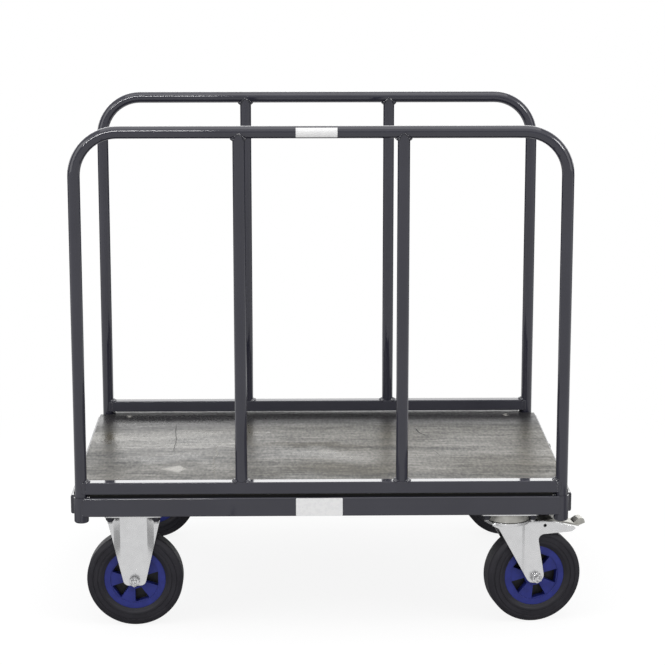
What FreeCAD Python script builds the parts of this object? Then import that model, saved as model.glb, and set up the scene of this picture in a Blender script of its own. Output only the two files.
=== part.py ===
import FreeCAD, Part
import math
import os

# Platform truck with two lift-out tube sides, two fixed castors and two braked swivel castors.
# Millimetres and degrees. X runs along the truck, Y across it, Z up, with the floor at Z = 0.

V = FreeCAD.Vector
ORIGIN = V(0, 0, 0)
X = V(1, 0, 0)
Y = V(0, 1, 0)
Z = V(0, 0, 1)

# Running, seating and weld clearances
running_gap = 0.05
weld_gap = 0.1
socket_gap = 0.5
lower_rail_gap = 1.2
rear_rail_lift = 3.2

# Layout of the tube sides
leg_spacing_x = 990.0
hoop_spacing_y = 700.0
hoop_rise = 745.5
bend_radius = 87.5
post_offset_x = 165.0

# Tubes of the sides
tube_diameter = 25.0
tube_wall = 2.0
lower_rail_size = 25.0
lower_rail_wall = 2.0
lower_rail_corner = 2.5

# Chassis rails, pressed C-sections with their open side facing in
rail_height = 40.0
rail_width = 30.0
rail_sheet = 3.0
rail_corner = 4.0
end_rail_overhang = 8.0
cross_rail_width = 40.0
cope_reach = 4.0

# Corner sockets that take the legs
socket_diameter = 30.0
socket_drop = 14.0
socket_lip = 3.0
socket_mouth = 18.0
socket_round = 4.0

# Deck board and its dome-head screws
deck_thickness = 6.0
deck_inset = 6.0
deck_notch_gap = 3.0
deck_corner = 2.0
screw_diameter = 6.0
screw_length = 16.0
screw_head_diameter = 16.0
screw_head_height = 3.8
screw_key = 4.0
screw_key_depth = 1.8
deck_screw_shift = 6.5

# Blank plates in the places of the name plates
chassis_plate_width = 96.0
chassis_plate_height = 38.0
chassis_plate_sheet = 0.8
chassis_plate_corner = 2.0
chassis_plate_x = -5.0
hoop_label_width = 83.0
hoop_label_height = 21.0
hoop_label_sheet = 0.4
hoop_label_x = -9.5

# Wheel: rubber tyre on a five-spoke plastic centre
wheel_diameter = 200.0
tyre_width = 50.0
tyre_shoulder = 6.0
tyre_shoulder_depth = 9.0
tyre_bead_depth = 8.0
tyre_groove = 1.2
tyre_groove_inset = 13.0
rim_diameter = 128.0
rim_width = 40.0
rim_depth = 12.5
rim_key_height = 4.0
rim_key_width = 12.0
web_thickness = 37.0
rim_edge = 1.0
spoke_count = 5
swivel_spoke_turn = 5.4
pocket_inner_radius = 21.0
pocket_outer_radius = 48.0
pocket_inner_width = 13.6
pocket_outer_width = 31.2
pocket_corner = 1.5
pocket_floor = 3.0
boss_diameter = 38.0
boss_side_gap = 0.5
hub_bore = 30.1

# Roller bearing, axle sleeve and axle bolt
roller_count = 12
roller_diameter = 4.8
roller_length = 40.0
cage_ring = 3.0
cage_depth = 3.2
sleeve_diameter = 20.0
axle_diameter = 12.0
axle_nut_flats = 19.0
axle_nut_height = 10.0
axle_nut_flange = 23.0
axle_nut_flange_height = 2.0
axle_head_height = 7.5
axle_tail = 3.0

# Castors
castor_headroom = 44.0
castor_inset_x = 129.0
castor_inset_y = 55.0
castor_plate_length = 118.0
castor_plate_width = 98.0
castor_plate_sheet = 3.0
castor_plate_corner = 8.0
castor_bolt_spacing_x = 95.0
castor_bolt_spacing_y = 82.0
castor_bolt_diameter = 10.0
castor_bolt_flats = 17.0
castor_bolt_head = 6.4
castor_bolt_tail = 4.0
castor_nut_flats = 15.0
castor_nut_flange = 20.0
castor_nut_flange_height = 2.0
castor_nut_height = 5.0
castor_nut_collar = 13.0
castor_nut_collar_height = 2.5
castor_nut_crown = 12.0
fork_sheet = 3.5
fork_side_gap = 2.0
fork_bend = 6.0

# Fixed fork, tapered cheeks with a raised centre panel
fixed_top_width = 113.6
fixed_foot_width = 42.8
fixed_foot_drop = 11.0
fixed_foot_round = 12.0
panel_base_width = 82.6
panel_flat_width = 56.0
panel_raise = 9.5
panel_fade_height = 25.0

# Swivel head and fork
swivel_turn = 10.0
swivel_trail = 54.0
race_cup_diameter = 90.0
race_cup_sheet = 4.5
race_cup_bore = 24.0
race_skirt_gap = 1.2
race_ball_diameter = 11.0
race_ball_circle = 62.0
race_ball_count = 16
race_ring_width = 14.0
race_ring_height = 2.8
crown_diameter = 94.0
crown_thickness = 6.0
kingpin_diameter = 12.0
kingpin_head_diameter = 20.0
kingpin_head_height = 6.0
lower_ball_diameter = 7.0
lower_ball_circle = 30.0
lower_ball_count = 12
lower_cup_diameter = 42.0
lower_cup_thickness = 4.0
flare = 2.0
flare_start = 23.0
flare_run = 6.0

# Side outline of the swivel fork: the throat's reach is from the kingpin and the others from the axle,
# along X, and drops are from the crown's top
throat_reach = -27.6
throat_drop = 13.0
throat_round = 6.0
foot_lead = 14.3
foot_back = 20.4
swivel_foot_drop = 12.5
swivel_foot_round = 16.0
neck_reach = 3.2
neck_drop = 31.3
neck_round = 12.0
tail_heel_reach = 76.0
tail_heel_drop = 28.1
tail_tip_reach = 88.7
tail_tip_drop = 20.4
tail_round = 3.0
tail_shoulder_reach = 38.6
tail_shoulder_drop = 5.6

# Brake lever, its hollow pin and its detent spring
brake_pin_diameter = 6.8
brake_pin_bore = 4.8
brake_pin_reach = 18.5
brake_pin_drop = 12.0
brake_knuckle = 14.0
brake_arm_width = 40.0
brake_arm_sheet = 4.0
brake_arm_proud = 3.5
brake_arm_lap = 6.0
brake_shoe_width = 32.0
brake_shoe_length = 12.0
brake_shoe_gap = 5.0
brake_shoe_sink = 1.0
pedal_width = 26.0
spring_width = 20.0
spring_sheet = 1.2
spring_bend = 2.0
spring_gap = 0.4

# Pedal profile from the fork's tail tip: along X, up, and corner rounding
PEDAL = [(4.0, -2.2, 1.0), (-2.6, 7.2, 1.0), (7.3, 13.6, 5.0), (13.8, 14.5, 5.0), (18.9, 13.3, 5.0),
         (21.9, 4.2, 1.5)]

# Places worked out from the sizes above
leg_x = leg_spacing_x / 2
hoop_y = hoop_spacing_y / 2
tube_r = tube_diameter / 2
socket_r = socket_diameter / 2
wheel_r = wheel_diameter / 2
axle_z = wheel_r
axle_r = axle_diameter / 2
castor_top = wheel_diameter + castor_headroom
chassis_top = castor_top + rail_height
deck_top = chassis_top + deck_thickness
rail_face_y = hoop_y + socket_r
rail_inner_y = rail_face_y - rail_width
end_face_x = leg_x + socket_r + end_rail_overhang
end_rail_y = hoop_y - socket_r - weld_gap
socket_bottom = castor_top - socket_drop
leg_foot_z = socket_bottom + socket_lip
lower_rail_bottom = deck_top + lower_rail_gap
lower_rail_top = lower_rail_bottom + lower_rail_size
RAIL_LIFT = {-1: 0.0, 1: rear_rail_lift}
top_rail_z = deck_top + hoop_rise
castor_x = end_face_x - castor_inset_x
castor_y = rail_face_y - castor_inset_y
castor_plate_bottom = castor_top - castor_plate_sheet
fork_gap_half = tyre_width / 2 + fork_side_gap
fork_half = fork_gap_half + fork_sheet
race_cup_bottom = castor_plate_bottom - race_cup_sheet
race_ring_top = race_cup_bottom - race_ball_diameter - 2 * running_gap
crown_top = race_ring_top - race_ring_height
crown_bottom = crown_top - crown_thickness
lower_cup_top = crown_bottom - lower_ball_diameter - 2 * running_gap
lower_cup_bottom = lower_cup_top - lower_cup_thickness
brake_pin_x = swivel_trail + brake_pin_reach
brake_pin_z = crown_top - brake_pin_drop
tail_tip_x = swivel_trail + tail_tip_reach
tail_tip_z = crown_top - tail_tip_drop
tail_shoulder_x = swivel_trail + tail_shoulder_reach
tail_shoulder_z = crown_top - tail_shoulder_drop

# Castor places: name, x, y, and the side that the axle nut faces
FIXED_CASTORS = [("front_left", -castor_x, -castor_y, -1), ("rear_left", -castor_x, castor_y, 1)]
SWIVEL_CASTORS = [("front_right", castor_x, -castor_y, -1), ("rear_right", castor_x, castor_y, 1)]
SIDES = [("front", -1), ("rear", 1)]
ENDS = [("left", -1), ("right", 1)]


# Shape helpers
def outline(corners, at):
    """Closed wire through (u, v, radius) corners, each rounded by a tangent arc where it has a radius."""
    points = [at(u, v) for u, v, _ in corners]
    starts = []
    ends = []
    arcs = []
    for i, (_, _, radius) in enumerate(corners):
        point = points[i]
        back = (points[i - 1] - point).normalize()
        ahead = (points[(i + 1) % len(points)] - point).normalize()
        if radius == 0:
            starts.append(point)
            ends.append(point)
            arcs.append(None)
            continue
        half = back.getAngle(ahead) / 2
        middle = (back + ahead).normalize()
        start = point + back * (radius / math.tan(half))
        end = point + ahead * (radius / math.tan(half))
        crest = point + middle * (radius / math.sin(half) - radius)
        starts.append(start)
        ends.append(end)
        arcs.append(Part.Arc(start, crest, end).toShape())
    edges = []
    for i, arc in enumerate(arcs):
        if starts[i].distanceToPoint(ends[i - 1]) > 1e-6:
            edges.append(Part.LineSegment(ends[i - 1], starts[i]).toShape())
        if arc:
            edges.append(arc)
    return Part.Wire(Part.__sortEdges__(edges))


def prism(corners, at, run):
    """Solid of the rounded outline, run along a vector."""
    return Part.Face(outline(corners, at)).extrude(run)


def spun(corners, centre, axis):
    """Solid of revolution of (along, radius, rounding) corners about an axis through centre."""
    across = Z if abs(axis.z) < 0.5 else X
    wire = outline(corners, lambda along, radius: centre + axis * along + across * radius)
    return Part.Face(wire).revolve(centre, axis, 360)


def rod(radius, start, run):
    """Round bar from a point along a vector."""
    return Part.makeCylinder(radius, run.Length, start, run)


def pipe(radius, wall, start, run):
    """Round tube from a point along a vector."""
    return rod(radius, start, run).cut(rod(radius - wall, start, run))


def hexagon(flats):
    """Corners of a hexagon, with a corner on the first axis."""
    corner = flats / math.sqrt(3)
    angles = [math.radians(60 * i) for i in range(6)]
    return [(corner * math.cos(a), corner * math.sin(a), 0) for a in angles]


def rectangle(length, width, radius):
    """Corners of a centred rectangle with rounded corners."""
    return [(sx * length / 2, sy * width / 2, radius) for sx, sy in ((-1, -1), (1, -1), (1, 1), (-1, 1))]


def level(z):
    """Maps outline corners to the horizontal plane at z."""
    return lambda u, v: V(u, v, z)


def upright(y):
    """Maps outline corners to the vertical plane at y, first along X and then up."""
    return lambda u, v: V(u, y, v)


def moved(shape, x, y, turn=0):
    """Copy of a shape turned about Z and then shifted."""
    copy = shape.copy()
    copy.rotate(ORIGIN, Z, turn)
    copy.translate(V(x, y, 0))
    return copy


def castor_corners():
    """Bolt places on a castor plate, from its centre."""
    half_x = castor_bolt_spacing_x / 2
    half_y = castor_bolt_spacing_y / 2
    return [(sx * half_x, sy * half_y) for sx in (-1, 1) for sy in (-1, 1)]


def all_castors():
    """Centres of the four castors."""
    return [(x, y) for _, x, y, _ in FIXED_CASTORS + SWIVEL_CASTORS]


# Chassis
def c_section(depth, at, run):
    """Pressed C-section with its web on the first axis' zero and its flanges towards depth."""
    inner = rail_height - rail_sheet
    corners = [(0, 0, rail_corner), (depth, 0, 0), (depth, rail_sheet, 0), (rail_sheet, rail_sheet, 0),
               (rail_sheet, inner, 0), (depth, inner, 0), (depth, rail_height, 0), (0, rail_height, rail_corner)]
    return prism(corners, at, run)


def castor_bolt_holes():
    """Clearance holes for every castor bolt, through plates and rail flanges."""
    radius = castor_bolt_diameter / 2 + running_gap
    start = castor_plate_bottom - castor_plate_sheet
    depth = 2 * castor_plate_sheet + 2 * rail_sheet
    holes = []
    for cx, cy in all_castors():
        holes += [rod(radius, V(cx + dx, cy + dy, start), Z * depth) for dx, dy in castor_corners()]
    return Part.makeCompound(holes)


def deck_screw_places():
    """Plan places of the deck screws, over the outer castor rails."""
    x = castor_x + castor_bolt_spacing_x / 2 + deck_screw_shift
    return [(sx * x, sy * castor_y) for sx in (-1, 1) for sy in (-1, 1)]


def deck_screw_holes():
    """Clearance holes for the deck screws, through the deck and the rail flange under it."""
    radius = screw_diameter / 2 + running_gap
    start = chassis_top - 2 * rail_sheet
    run = Z * (deck_top - start + rail_sheet)
    return Part.makeCompound([rod(radius, V(x, y, start), run) for x, y in deck_screw_places()])


def side_rail(sign):
    """Front or rear chassis rail, coped to the sockets at both ends."""
    start = leg_x - cope_reach
    at = lambda u, v: V(-start, sign * (rail_face_y - u), castor_top + v)
    rail = c_section(rail_width, at, X * (2 * start))
    cope = socket_r + weld_gap
    for _, end in ENDS:
        rail = rail.cut(rod(cope, V(end * leg_x, sign * hoop_y, castor_top), Z * rail_height))
    return rail.cut(castor_bolt_holes())


def end_rail(sign):
    """Left or right end rail, between the sockets and a little outside them, folded closed at both ends."""
    at = lambda u, v: V(sign * (end_face_x - u), -end_rail_y, castor_top + v)
    rail = c_section(rail_width, at, Y * (2 * end_rail_y))
    flap = [(0, 0, rail_corner), (rail_width, 0, 0), (rail_width, rail_height, 0),
            (0, rail_height, rail_corner)]
    fold = prism(flap, at, Y * rail_sheet)
    return rail.fuse([fold, fold.mirror(ORIGIN, Y)]).removeSplitter()


def cross_rail(x, facing):
    """Rail across the chassis, with its open side facing the given way."""
    at = lambda u, v: V(x + facing * (u - cross_rail_width / 2), -rail_inner_y, castor_top + v)
    rail = c_section(cross_rail_width, at, Y * (2 * rail_inner_y))
    return rail.cut(castor_bolt_holes()).cut(deck_screw_holes())


def castor_cross_rails():
    """The four cross rails that carry the inner castor bolts."""
    half = castor_bolt_spacing_x / 2
    return [cross_rail(sx * (castor_x + side * half), -side * sx) for sx in (-1, 1) for side in (-1, 1)]


def socket(x, y):
    """Corner socket: a tube with a turned-in lip that the leg stands on."""
    bore = tube_r + socket_gap
    corners = [(0, socket_mouth / 2, 0), (0, socket_r, socket_round), (chassis_top - socket_bottom, socket_r, 0),
               (chassis_top - socket_bottom, bore, 0), (socket_lip, bore, 0), (socket_lip, socket_mouth / 2, 0)]
    return spun(corners, V(x, y, socket_bottom), Z)


def chassis_plate():
    """Bare plate on the front rail."""
    corners = rectangle(chassis_plate_width, chassis_plate_height, chassis_plate_corner)
    middle = castor_top + rail_height / 2
    at = lambda u, v: V(chassis_plate_x + u, -rail_face_y, middle + v)
    return prism(corners, at, Y * -chassis_plate_sheet)


# Deck
def deck():
    """Board over the whole chassis, notched round the four sockets."""
    half_x = end_face_x - deck_inset
    half_y = rail_face_y - deck_inset
    notch = socket_r + deck_notch_gap
    quarter = [(half_x, hoop_y - notch, deck_corner), (leg_x - notch, hoop_y - notch, deck_corner),
               (leg_x - notch, half_y, deck_corner)]
    corners = []
    for sx, sy in ((1, 1), (-1, 1), (-1, -1), (1, -1)):
        run = [(sx * u, sy * v, r) for u, v, r in quarter]
        corners += run if sx * sy > 0 else run[::-1]
    return prism(corners, level(chassis_top), Z * deck_thickness).cut(deck_screw_holes())


def deck_screw(x, y):
    """Dome-head screw with a hexagon key socket."""
    head_r = screw_head_diameter / 2
    shank = rod(screw_diameter / 2, V(x, y, deck_top - screw_length), Z * screw_length)
    ball_r = (head_r ** 2 + screw_head_height ** 2) / (2 * screw_head_height)
    dome = Part.makeSphere(ball_r, V(x, y, deck_top + screw_head_height - ball_r))
    head = dome.common(rod(head_r, V(x, y, deck_top), Z * screw_head_height))
    at = lambda u, v: V(x + u, y + v, deck_top + screw_head_height - screw_key_depth)
    return shank.fuse(head).removeSplitter().cut(prism(hexagon(screw_key), at, Z * screw_head_height))


# Tube sides
def hoop_tube(sign):
    """Leg, top rail and leg in one bent tube."""
    y = sign * hoop_y
    turn = top_rail_z - bend_radius
    run = leg_x - bend_radius
    slant = bend_radius * math.sqrt(0.5)
    left_foot = V(-leg_x, y, leg_foot_z)
    right_foot = V(leg_x, y, leg_foot_z)
    path = Part.Wire([
        Part.LineSegment(left_foot, V(-leg_x, y, turn)).toShape(),
        Part.Arc(V(-leg_x, y, turn), V(-run - slant, y, turn + slant), V(-run, y, top_rail_z)).toShape(),
        Part.LineSegment(V(-run, y, top_rail_z), V(run, y, top_rail_z)).toShape(),
        Part.Arc(V(run, y, top_rail_z), V(run + slant, y, turn + slant), V(leg_x, y, turn)).toShape(),
        Part.LineSegment(V(leg_x, y, turn), right_foot).toShape()])
    skins = []
    for radius in (tube_r, tube_r - tube_wall):
        ring = Part.Wire(Part.makeCircle(radius, left_foot, Z))
        skins.append(path.makePipeShell([ring], True, False))
    return skins[0].cut(skins[1])


def lower_rail(sign):
    """Square tube between the legs, just over the deck."""
    middle = lower_rail_bottom + RAIL_LIFT[sign] + lower_rail_size / 2
    bore = lower_rail_size - 2 * lower_rail_wall
    at = lambda u, v: V(-leg_x, sign * hoop_y + u, middle + v)
    skin = prism(rectangle(lower_rail_size, lower_rail_size, lower_rail_corner), at, X * leg_spacing_x)
    rail = skin.cut(prism(rectangle(bore, bore, 0), at, X * leg_spacing_x))
    for _, end in ENDS:
        leg = rod(tube_r + weld_gap, V(end * leg_x, sign * hoop_y, leg_foot_z), Z * (top_rail_z - leg_foot_z))
        rail = rail.cut(leg)
    return rail


def posts(sign):
    """The two inner posts, from the lower rail to the top rail."""
    top_rail = rod(tube_r + weld_gap, V(-leg_x, sign * hoop_y, top_rail_z), X * leg_spacing_x)
    foot_z = lower_rail_top + RAIL_LIFT[sign]
    starts = [V(end * post_offset_x, sign * hoop_y, foot_z) for _, end in ENDS]
    return [pipe(tube_r, tube_wall, start, Z * (top_rail_z - foot_z)).cut(top_rail) for start in starts]


def hoop_label():
    """Bare label wrapped round the front top rail."""
    start = V(hoop_label_x - hoop_label_width / 2, -hoop_y, top_rail_z)
    outer = tube_r + running_gap + hoop_label_sheet
    rise = outer * math.sin(hoop_label_height / tube_r / 2)
    front = Part.makeBox(hoop_label_width, outer, 2 * rise, start - V(0, outer, rise))
    return pipe(outer, hoop_label_sheet, start, X * hoop_label_width).common(front)


# Wheel, built about its axle on the Y axis of the castor, with the trail along X
def tyre(trail):
    """Rubber tyre with rounded shoulders, keyed to the rim and grooved on both walls."""
    half = tyre_width / 2
    bead = rim_diameter / 2 + running_gap
    key_half = rim_key_width / 2 + running_gap
    key_r = bead + rim_key_height
    wall = [(key_half, key_r, 0), (key_half, bead, 0), (rim_width / 2, bead, 0),
            (half, bead + tyre_bead_depth, tyre_bead_depth / 2),
            (half, wheel_r - tyre_shoulder_depth, tyre_shoulder_depth / 2),
            (half - tyre_shoulder, wheel_r, tyre_shoulder)]
    corners = wall + [(-along, radius, r) for along, radius, r in wall[::-1]]
    centre = V(trail, 0, axle_z)
    body = spun(corners, centre, Y)
    for side in (-1, 1):
        for radius in (wheel_r - tyre_groove_inset, bead + tyre_groove_inset):
            body = body.cut(Part.makeTorus(radius, tyre_groove, centre + Y * (side * half), Y))
    return body


def wheel_centre(trail, angle):
    """Plastic centre: rim, web with pockets between the spokes on both faces, and boss."""
    rim_r = rim_diameter / 2
    ring_r = rim_r - rim_depth
    boss_r = boss_diameter / 2
    half = [(rim_key_width / 2, rim_r + rim_key_height, 0), (rim_key_width / 2, rim_r, 0),
            (rim_width / 2, rim_r, rim_edge), (rim_width / 2, ring_r, 0), (web_thickness / 2, ring_r, 0),
            (web_thickness / 2, boss_r, rim_edge),
            (fork_gap_half - boss_side_gap, boss_r, rim_edge), (fork_gap_half - boss_side_gap, hub_bore / 2, 0)]
    corners = half + [(-along, radius, r) for along, radius, r in half[::-1]]
    centre = V(trail, 0, axle_z)
    body = spun(corners, centre, Y)
    pocket = [(pocket_inner_radius, -pocket_inner_width / 2, pocket_corner),
              (pocket_outer_radius, -pocket_outer_width / 2, pocket_corner),
              (pocket_outer_radius, pocket_outer_width / 2, pocket_corner),
              (pocket_inner_radius, pocket_inner_width / 2, pocket_corner)]
    for side in (-1, 1):
        at = lambda u, v: centre + V(u, side * pocket_floor / 2, v)
        cut = prism(pocket, at, Y * (side * web_thickness))
        for spoke in range(spoke_count):
            turned = cut.copy()
            turned.rotate(centre, Y, angle + 360 / spoke_count * spoke)
            body = body.cut(turned)
    return body


def roller_bearing(trail):
    """Rollers between the hub bore and the axle sleeve, with a cage ring at each end."""
    centre = V(trail, 0, axle_z)
    pitch = (hub_bore + sleeve_diameter) / 4
    half = roller_length / 2
    solids = []
    for i in range(roller_count):
        a = 2 * math.pi * i / roller_count
        place = centre + V(pitch * math.cos(a), -half, pitch * math.sin(a))
        solids.append(rod(roller_diameter / 2, place, Y * roller_length))
    for start in (half, -half - cage_ring):
        solids.append(pipe(pitch + cage_depth / 2, cage_depth, centre + Y * start, Y * cage_ring))
    return solids


def axle_sleeve(trail):
    """Steel sleeve clamped between the cheeks, which the rollers run on."""
    wall = sleeve_diameter / 2 - axle_r - running_gap
    return pipe(sleeve_diameter / 2, wall, V(trail, -fork_gap_half, axle_z), Y * (2 * fork_gap_half))


def axle_bolt(trail, nut_side):
    """Axle bolt, with its head away from the nut."""
    tip = fork_half + axle_nut_flange_height + axle_nut_height + axle_tail
    shank = rod(axle_r, V(trail, -nut_side * fork_half, axle_z), Y * (nut_side * (fork_half + tip)))
    at = lambda u, v: V(trail + v, -nut_side * fork_half, axle_z + u)
    return shank.fuse(prism(hexagon(axle_nut_flats), at, Y * (-nut_side * axle_head_height))).removeSplitter()


def axle_nut(trail, nut_side):
    """Flanged axle nut against the outer cheek."""
    start = V(trail, nut_side * fork_half, axle_z)
    flange = rod(axle_nut_flange / 2, start, Y * (nut_side * axle_nut_flange_height))
    at = lambda u, v: V(trail + v, nut_side * (fork_half + axle_nut_flange_height), axle_z + u)
    body = flange.fuse(prism(hexagon(axle_nut_flats), at, Y * (nut_side * axle_nut_height))).removeSplitter()
    return body.cut(rod(axle_r + running_gap, start, Y * (nut_side * tyre_width)))


# Castor plates and their fasteners
def castor_plate():
    """Flat castor plate with its four bolt holes."""
    corners = rectangle(castor_plate_length, castor_plate_width, castor_plate_corner)
    plate = prism(corners, level(castor_plate_bottom), Z * castor_plate_sheet)
    radius = castor_bolt_diameter / 2 + running_gap
    for x, y in castor_corners():
        plate = plate.cut(rod(radius, V(x, y, castor_plate_bottom), Z * castor_plate_sheet))
    return plate


def castor_bolt():
    """Castor bolt about the Z axis, with its head on the rail flange."""
    nut_run = castor_nut_flange_height + castor_nut_height + castor_nut_collar_height
    low = castor_plate_bottom - nut_run - castor_bolt_tail
    seat = castor_top + rail_sheet
    shank = rod(castor_bolt_diameter / 2, V(0, 0, low), Z * (seat - low))
    head = prism([(v, u, r) for u, v, r in hexagon(castor_bolt_flats)], level(seat), Z * castor_bolt_head)
    return shank.fuse(head).removeSplitter()


def castor_nut():
    """Flanged lock nut about the Z axis, under the castor plate."""
    flange_z = castor_plate_bottom - castor_nut_flange_height
    hex_z = flange_z - castor_nut_height
    flange = rod(castor_nut_flange / 2, V(0, 0, flange_z), Z * castor_nut_flange_height)
    body = prism(hexagon(castor_nut_flats), level(hex_z), Z * castor_nut_height)
    collar = Part.makeCone(castor_nut_collar / 2, castor_nut_crown / 2, castor_nut_collar_height,
                           V(0, 0, hex_z), -Z)
    nut = flange.fuse([body, collar]).removeSplitter()
    return nut.cut(rod(castor_bolt_diameter / 2 + running_gap, V(0, 0, 0), Z * castor_top))


def at_castor_bolts(shape):
    """Copies of a fastener at every castor bolt."""
    return [moved(shape, cx + dx, cy + dy) for cx, cy in all_castors() for dx, dy in castor_corners()]


# Fixed fork
def panel_solid(lift, inset):
    """Raised centre panel of a fixed cheek, fading out downwards; lift and inset shift its skin."""
    wires = []
    for z, raised in ((castor_plate_bottom, panel_raise), (axle_z + panel_fade_height, running_gap)):
        base = panel_base_width / 2 - inset
        flat = panel_flat_width / 2 - inset
        low = fork_gap_half + lift
        skin = fork_half + lift
        points = [(-base, low), (-base, skin), (-flat, skin + raised), (flat, skin + raised), (base, skin),
                  (base, low)]
        corners = [(u, v, 0) for u, v in points]
        wires.append(outline(corners, level(z)))
    return Part.makeLoft(wires, True, True)


def fixed_cheek():
    """One pressed cheek of a fixed fork, on the +Y side."""
    top = fixed_top_width / 2
    foot = fixed_foot_width / 2
    low = axle_z - fixed_foot_drop
    corners = [(-top, castor_plate_bottom, 0), (top, castor_plate_bottom, 0), (foot, low, fixed_foot_round),
               (-foot, low, fixed_foot_round)]
    reach = fork_half + panel_raise
    side = prism(corners, upright(0), Y * (2 * reach))
    slab = prism(corners, upright(fork_gap_half), Y * fork_sheet)
    raised = panel_solid(0, 0).common(side)
    hollow = panel_solid(-fork_sheet, fork_sheet / 2)
    return slab.fuse(raised).cut(hollow)


def fixed_fork():
    """Fixed castor fork: plate and two cheeks in one pressing."""
    cheek = fixed_cheek()
    fork = castor_plate().fuse([cheek, cheek.mirror(ORIGIN, Y)]).removeSplitter()
    return fork.cut(across_fork(axle_r + running_gap, 0, axle_z))


# Swivel head and fork
def swivel_top_plate():
    """Castor plate with the kingpin's hole."""
    hole = rod(kingpin_diameter / 2 + running_gap, V(0, 0, castor_plate_bottom), Z * castor_plate_sheet)
    return castor_plate().cut(hole)


def upper_race_cup():
    """Round cup under the plate, with a skirt that shields the ball race."""
    outer = race_cup_diameter / 2
    inner = race_cup_bore / 2
    skirt_low = crown_top + race_skirt_gap
    corners = [(castor_plate_bottom, inner, 0), (castor_plate_bottom, outer, race_cup_sheet / 2),
               (skirt_low, outer, 0), (skirt_low, outer - race_cup_sheet, 0),
               (race_cup_bottom, outer - race_cup_sheet, 0), (race_cup_bottom, inner, 0)]
    return spun(corners, ORIGIN, Z)


def kingpin():
    """Kingpin from the plate down to its riveted head."""
    low = lower_cup_bottom - kingpin_head_height
    head = rod(kingpin_head_diameter / 2, V(0, 0, low), Z * kingpin_head_height)
    return head.fuse(rod(kingpin_diameter / 2, V(0, 0, low), Z * (castor_top - low))).removeSplitter()


def lower_race_cup():
    """Ring on the kingpin that holds up the lower balls."""
    wall = lower_cup_diameter / 2 - kingpin_diameter / 2 - running_gap
    return pipe(lower_cup_diameter / 2, wall, V(0, 0, lower_cup_bottom), Z * lower_cup_thickness)


def race_balls():
    """Balls of the upper and the lower race."""
    rows = [(race_ball_count, race_ball_circle / 2, race_ball_diameter / 2, race_ring_top),
            (lower_ball_count, lower_ball_circle / 2, lower_ball_diameter / 2, lower_cup_top)]
    balls = []
    for count, circle, radius, floor in rows:
        for i in range(count):
            a = 2 * math.pi * i / count
            place = V(circle * math.cos(a), circle * math.sin(a), floor + running_gap + radius)
            balls.append(Part.makeSphere(radius, place))
    return balls


def u_section(half):
    """Corners of the fork's U, open downwards."""
    inner = half - fork_sheet
    roof = crown_top - fork_sheet
    bend = fork_bend - fork_sheet
    return [(-half, 0, 0), (-half, crown_top, fork_bend), (half, crown_top, fork_bend), (half, 0, 0),
            (inner, 0, 0), (inner, roof, bend), (-inner, roof, bend), (-inner, 0, 0)]


def swivel_side():
    """Side outline of the swivel fork: crown, tail, neck, foot and throat."""
    crown_r = crown_diameter / 2
    lead = fork_bend - crown_r
    foot_z = axle_z - swivel_foot_drop
    return [(lead, crown_top, 0), (crown_r, crown_top, 0), (tail_shoulder_x, tail_shoulder_z, 0),
            (tail_tip_x, tail_tip_z, tail_round),
            (swivel_trail + tail_heel_reach, crown_top - tail_heel_drop, tail_round),
            (swivel_trail + neck_reach, crown_top - neck_drop, neck_round),
            (swivel_trail + foot_back, foot_z, swivel_foot_round),
            (swivel_trail - foot_lead, foot_z, swivel_foot_round),
            (throat_reach, crown_top - throat_drop, throat_round), (lead, crown_bottom, 0)]


def swivel_shell():
    """Bent sheet of the swivel fork: a wide head, a flare, and the narrower leg and tail."""
    head_half = fork_half + flare
    flare_end = flare_start + flare_run
    along = lambda x: lambda u, v: V(x, u, v)
    head = prism(u_section(head_half), along(-crown_diameter), X * (crown_diameter + flare_start))
    leg = prism(u_section(fork_half), along(flare_end), X * (tail_tip_x - flare_end))
    wires = [outline(u_section(head_half), along(flare_start)), outline(u_section(fork_half), along(flare_end))]
    side = prism(swivel_side(), upright(-crown_diameter), Y * (2 * crown_diameter))
    return head.fuse([Part.makeLoft(wires, True, True), leg]).common(side)


def across_fork(radius, x, z):
    """Round bar right across a fork, for cutting a pair of holes."""
    return rod(radius, V(x, -castor_plate_width, z), Y * (2 * castor_plate_width))


def swivel_fork():
    """Pressed swivel fork: crown, lower race ring, flared cheeks and brake tail."""
    crown_r = crown_diameter / 2
    slot = Part.makeBox(tail_tip_x, 2 * fork_gap_half, brake_pin_drop, V(crown_r, -fork_gap_half, brake_pin_z))
    crown = rod(crown_r, V(0, 0, crown_bottom), Z * crown_thickness)
    ring_r = (race_ball_circle + race_ring_width) / 2
    ring = pipe(ring_r, race_ring_width, V(0, 0, crown_top), Z * race_ring_height)
    fork = swivel_shell().cut(slot).fuse([crown, ring]).removeSplitter()
    fork = fork.cut(rod(kingpin_diameter / 2 + running_gap, V(0, 0, lower_cup_bottom), Z * castor_headroom))
    fork = fork.cut(across_fork(axle_r + running_gap, swivel_trail, axle_z))
    return fork.cut(across_fork(brake_pin_diameter / 2 + running_gap, brake_pin_x, brake_pin_z))


# Brake
def brake_pin():
    """Hollow pin across the fork's tail."""
    wall = (brake_pin_diameter - brake_pin_bore) / 2
    return pipe(brake_pin_diameter / 2, wall, V(brake_pin_x, -fork_half, brake_pin_z), Y * (2 * fork_half))


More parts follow.
